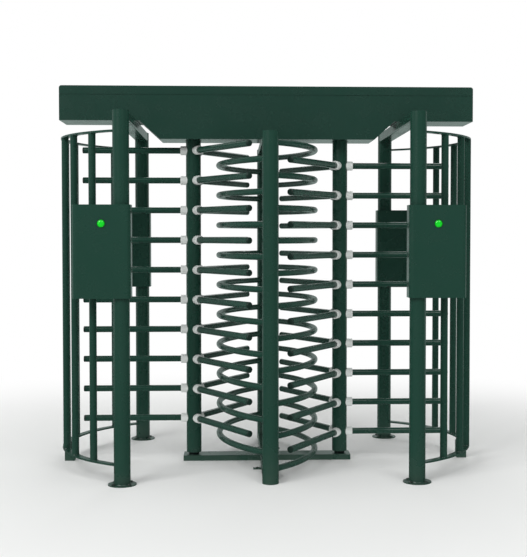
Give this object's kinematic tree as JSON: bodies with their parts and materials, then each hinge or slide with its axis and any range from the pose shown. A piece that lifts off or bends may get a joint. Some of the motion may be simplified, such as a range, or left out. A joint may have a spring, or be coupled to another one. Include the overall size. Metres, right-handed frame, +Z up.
{
  "type": "full height turnstile",
  "caption": "Twin full-height turnstile: two three-wing rotors side by side, centre hoops, curved side cages, a drive housing overhead and control boxes.",
  "frame": {"origin": "on the floor, midway between the two rotors", "axes": "+X across both lanes, -Y is the entry side, +Z up"},
  "size_m": [2.521, 1.5368, 2.3],
  "materials": {
    "green": "gloss dark green",
    "housing": "gloss dark green",
    "bearing": "dark steel",
    "lamp": "bright green lens",
    "collar": "light grey",
    "cap": "dark"
  },
  "bodies": {
    "frame": {"left_front_post": "green", "left_rear_post": "green", "right_front_post": "green", "right_rear_post": "green", "left_base_flanges": "green", "right_base_flanges": "green", "left_top_rail": "green", "right_top_rail": "green", "centre_front_post": "green", "centre_rear_post": "green", "centre_top_rail": "green", "centre_floor_rail": "green", "anchor_lugs": "green", "floor_beam": "green", "foot_bearings": "bearing", "left_hoops": "green", "right_hoops": "green", "drive_housing": "housing", "housing_lid": "housing", "left_cage_upper_ring": "green", "left_cage_lower_ring": "green", "left_cage_bars": "green", "left_cage_foot": "green", "right_cage_upper_ring": "green", "right_cage_lower_ring": "green", "right_cage_bars": "green", "right_cage_foot": "green", "left_front_box": "green", "left_rear_box": "green", "right_front_box": "green", "right_rear_box": "green", "indicator_lamps": "lamp"},
    "left_rotor": {"left_column": "green", "left_side_wing": "green", "left_front_wing": "green", "left_rear_wing": "green", "left_collars": "collar", "left_arm_caps": "cap"},
    "right_rotor": {"right_column": "green", "right_side_wing": "green", "right_front_wing": "green", "right_rear_wing": "green", "right_collars": "collar", "right_arm_caps": "cap"}
  },
  "joints": [
    {"name": "left_rotor_spin", "type": "hinge", "parent": "frame", "child": "left_rotor", "pos_m": [-0.455, 0, 0.048], "axis": [0, 0, 1], "continuous": true},
    {"name": "right_rotor_spin", "type": "hinge", "parent": "frame", "child": "right_rotor", "pos_m": [0.455, 0, 0.048], "axis": [0, 0, 1], "continuous": true}
  ]
}
